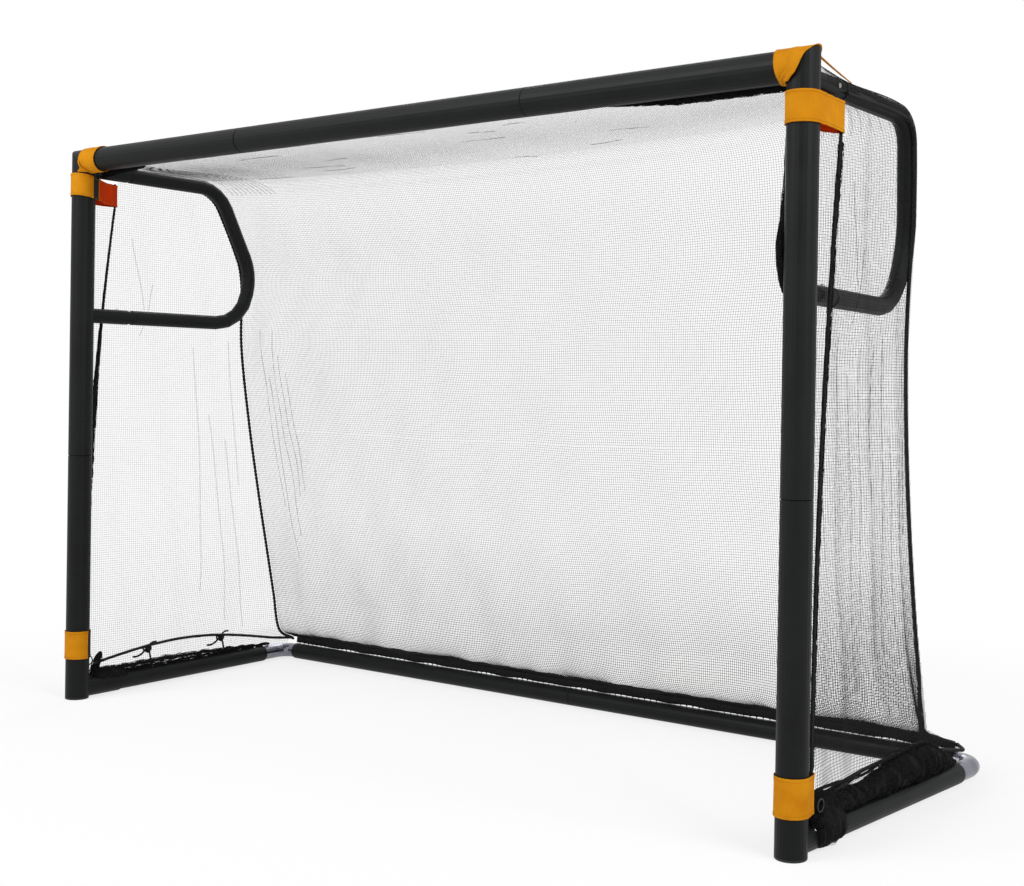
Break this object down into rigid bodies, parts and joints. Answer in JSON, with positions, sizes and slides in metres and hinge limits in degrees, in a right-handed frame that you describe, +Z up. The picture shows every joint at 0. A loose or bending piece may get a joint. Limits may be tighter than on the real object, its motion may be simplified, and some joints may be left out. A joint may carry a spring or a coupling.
{
  "type": "soccer goal",
  "caption": "Small portable soccer goal of plug-together black steel tubes with side loops, a fine black net, orange straps and bare steel rear corner elbows.",
  "frame": {"origin": "ground level, in the middle of the goal's footprint", "axes": "+X along the crossbar, +Y from the mouth back into the net, +Z up"},
  "size_m": [1.8566, 0.694, 1.202],
  "materials": {
    "black_coat": "satin powder coat",
    "bare_steel": "bright galvanised",
    "spring_steel": "bright",
    "plastic": "moulded, matt",
    "net": "knotless thread",
    "webbing": "woven",
    "strap": "woven hook-and-loop strap"
  },
  "bodies": {
    "frame": {"back_net": "net", "crossbar_hem": "webbing", "crossbar_middle": "black_coat", "left_bar_strap": "strap", "left_corner_unit": "black_coat", "left_elbow": "bare_steel", "left_foot_cap": "plastic", "left_foot_strap": "strap", "left_front_cord": "webbing", "left_ground_cord": "webbing", "left_loop_connector": "bare_steel", "left_loop_lower": "black_coat", "left_loop_upper": "black_coat", "left_lower_post": "black_coat", "left_post_strap": "strap", "left_rear_tube": "black_coat", "left_seam_cord": "webbing", "left_side_net": "net", "left_side_tube": "black_coat", "left_tie_1": "webbing", "left_tie_2": "webbing", "rear_hem": "webbing", "right_bar_strap": "strap", "right_corner_unit": "black_coat", "right_elbow": "bare_steel", "right_foot_cap": "plastic", "right_foot_strap": "strap", "right_front_cord": "webbing", "right_ground_cord": "webbing", "right_loop_connector": "bare_steel", "right_loop_lower": "black_coat", "right_loop_upper": "black_coat", "right_lower_post": "black_coat", "right_post_strap": "strap", "right_rear_tube": "black_coat", "right_seam_cord": "webbing", "right_side_net": "net", "right_side_tube": "black_coat", "right_tie_1": "webbing", "right_tie_2": "webbing", "roof_net": "net"},
    "rear_tube_button": {"rear_tube_button": "spring_steel"},
    "left_post_button": {"left_post_button": "spring_steel"},
    "left_bar_button": {"left_bar_button": "spring_steel"},
    "left_loop_top_button": {"left_loop_top_button": "spring_steel"},
    "left_loop_low_button": {"left_loop_low_button": "spring_steel"},
    "left_loop_mid_button": {"left_loop_mid_button": "spring_steel"},
    "left_ground_button": {"left_ground_button": "spring_steel"},
    "left_elbow_side_button": {"left_elbow_side_button": "spring_steel"},
    "left_elbow_rear_button": {"left_elbow_rear_button": "spring_steel"},
    "right_post_button": {"right_post_button": "spring_steel"},
    "right_bar_button": {"right_bar_button": "spring_steel"},
    "right_loop_top_button": {"right_loop_top_button": "spring_steel"},
    "right_loop_low_button": {"right_loop_low_button": "spring_steel"},
    "right_loop_mid_button": {"right_loop_mid_button": "spring_steel"},
    "right_ground_button": {"right_ground_button": "spring_steel"},
    "right_elbow_side_button": {"right_elbow_side_button": "spring_steel"},
    "right_elbow_rear_button": {"right_elbow_rear_button": "spring_steel"}
  },
  "joints": [
    {"name": "rear_tube_button_press", "type": "slide", "parent": "frame", "child": "rear_tube_button", "axis": [0, -1, 0], "range_m": [0, 0.0048], "stiffness_N_per_m": 1200},
    {"name": "left_post_button_press", "type": "slide", "parent": "frame", "child": "left_post_button", "axis": [0, -1, 0], "range_m": [0, 0.0048], "stiffness_N_per_m": 1200},
    {"name": "left_bar_button_press", "type": "slide", "parent": "frame", "child": "left_bar_button", "axis": [0, -0.7071, -0.7071], "range_m": [0, 0.0048], "stiffness_N_per_m": 1200},
    {"name": "left_loop_top_button_press", "type": "slide", "parent": "frame", "child": "left_loop_top_button", "axis": [1, 0, 0], "range_m": [0, 0.0048], "stiffness_N_per_m": 1200},
    {"name": "left_loop_low_button_press", "type": "slide", "parent": "frame", "child": "left_loop_low_button", "axis": [0, 0, -1], "range_m": [0, 0.0048], "stiffness_N_per_m": 1200},
    {"name": "left_loop_mid_button_press", "type": "slide", "parent": "frame", "child": "left_loop_mid_button", "axis": [0.9895, -0.0519, 0.1346], "range_m": [0, 0.0048], "stiffness_N_per_m": 1200},
    {"name": "left_ground_button_press", "type": "slide", "parent": "frame", "child": "left_ground_button", "axis": [0.7054, 0.0389, -0.7078], "range_m": [0, 0.0048], "stiffness_N_per_m": 1200},
    {"name": "left_elbow_side_button_press", "type": "slide", "parent": "frame", "child": "left_elbow_side_button", "axis": [0.0002, -0.0037, -1], "range_m": [0, 0.0048], "stiffness_N_per_m": 1200},
    {"name": "left_elbow_rear_button_press", "type": "slide", "parent": "frame", "child": "left_elbow_rear_button", "axis": [0, -1, 0], "range_m": [0, 0.0048], "stiffness_N_per_m": 1200},
    {"name": "right_post_button_press", "type": "slide", "parent": "frame", "child": "right_post_button", "axis": [0, -1, 0], "range_m": [0, 0.0048], "stiffness_N_per_m": 1200},
    {"name": "right_bar_button_press", "type": "slide", "parent": "frame", "child": "right_bar_button", "axis": [0, -0.7071, -0.7071], "range_m": [0, 0.0048], "stiffness_N_per_m": 1200},
    {"name": "right_loop_top_button_press", "type": "slide", "parent": "frame", "child": "right_loop_top_button", "axis": [-1, 0, 0], "range_m": [0, 0.0048], "stiffness_N_per_m": 1200},
    {"name": "right_loop_low_button_press", "type": "slide", "parent": "frame", "child": "right_loop_low_button", "axis": [0, 0, -1], "range_m": [0, 0.0048], "stiffness_N_per_m": 1200},
    {"name": "right_loop_mid_button_press", "type": "slide", "parent": "frame", "child": "right_loop_mid_button", "axis": [-0.9895, -0.0519, 0.1346], "range_m": [0, 0.0048], "stiffness_N_per_m": 1200},
    {"name": "right_ground_button_press", "type": "slide", "parent": "frame", "child": "right_ground_button", "axis": [-0.7054, 0.0389, -0.7078], "range_m": [0, 0.0048], "stiffness_N_per_m": 1200},
    {"name": "right_elbow_side_button_press", "type": "slide", "parent": "frame", "child": "right_elbow_side_button", "axis": [-0.0002, -0.0037, -1], "range_m": [0, 0.0048], "stiffness_N_per_m": 1200},
    {"name": "right_elbow_rear_button_press", "type": "slide", "parent": "frame", "child": "right_elbow_rear_button", "axis": [0, -1, 0], "range_m": [0, 0.0048], "stiffness_N_per_m": 1200}
  ]
}
